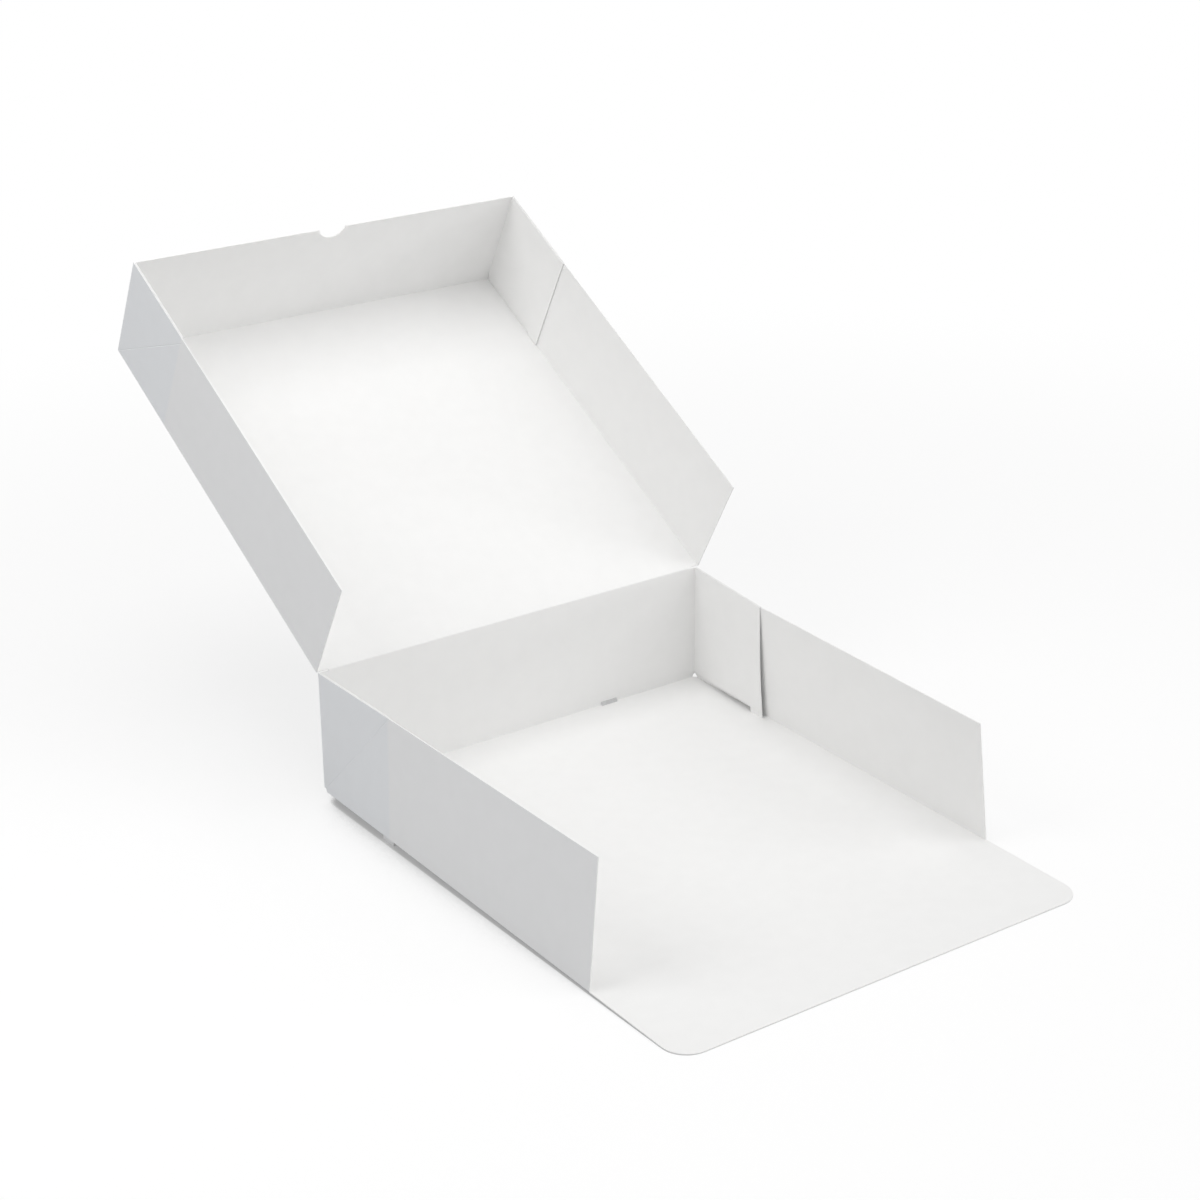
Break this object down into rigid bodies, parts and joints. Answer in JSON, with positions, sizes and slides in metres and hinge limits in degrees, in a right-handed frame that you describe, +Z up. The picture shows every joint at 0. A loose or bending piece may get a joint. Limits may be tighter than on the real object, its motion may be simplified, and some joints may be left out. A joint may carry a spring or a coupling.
{
  "type": "pastry box",
  "caption": "Square white paperboard pastry box folded from a flat sheet, standing open with its hinged lid thrown back and its front flap down.",
  "frame": {"origin": "middle of the floor's underside, which the box stands on", "axes": "+Z up, +X to the right seen from the open front, +Y towards the rear wall and the lid"},
  "size_m": [0.293, 0.6244, 0.2909],
  "materials": {
    "white_board": "matte white coated paperboard"
  },
  "bodies": {
    "tray_body": {"base_tray": "white_board"},
    "lid_body": {"lid": "white_board"},
    "flap_body": {"front_flap": "white_board"}
  },
  "joints": [
    {"name": "lid_hinge", "type": "hinge", "parent": "tray_body", "child": "lid_body", "pos_m": [0, 0.1447, 0.0816], "axis": [-1, 0, 0], "range_deg": [-151, 29]},
    {"name": "flap_hinge", "type": "hinge", "parent": "tray_body", "child": "flap_body", "pos_m": [0, -0.145, 0.0003], "axis": [-1, 0, 0], "range_deg": [0, 90]}
  ]
}
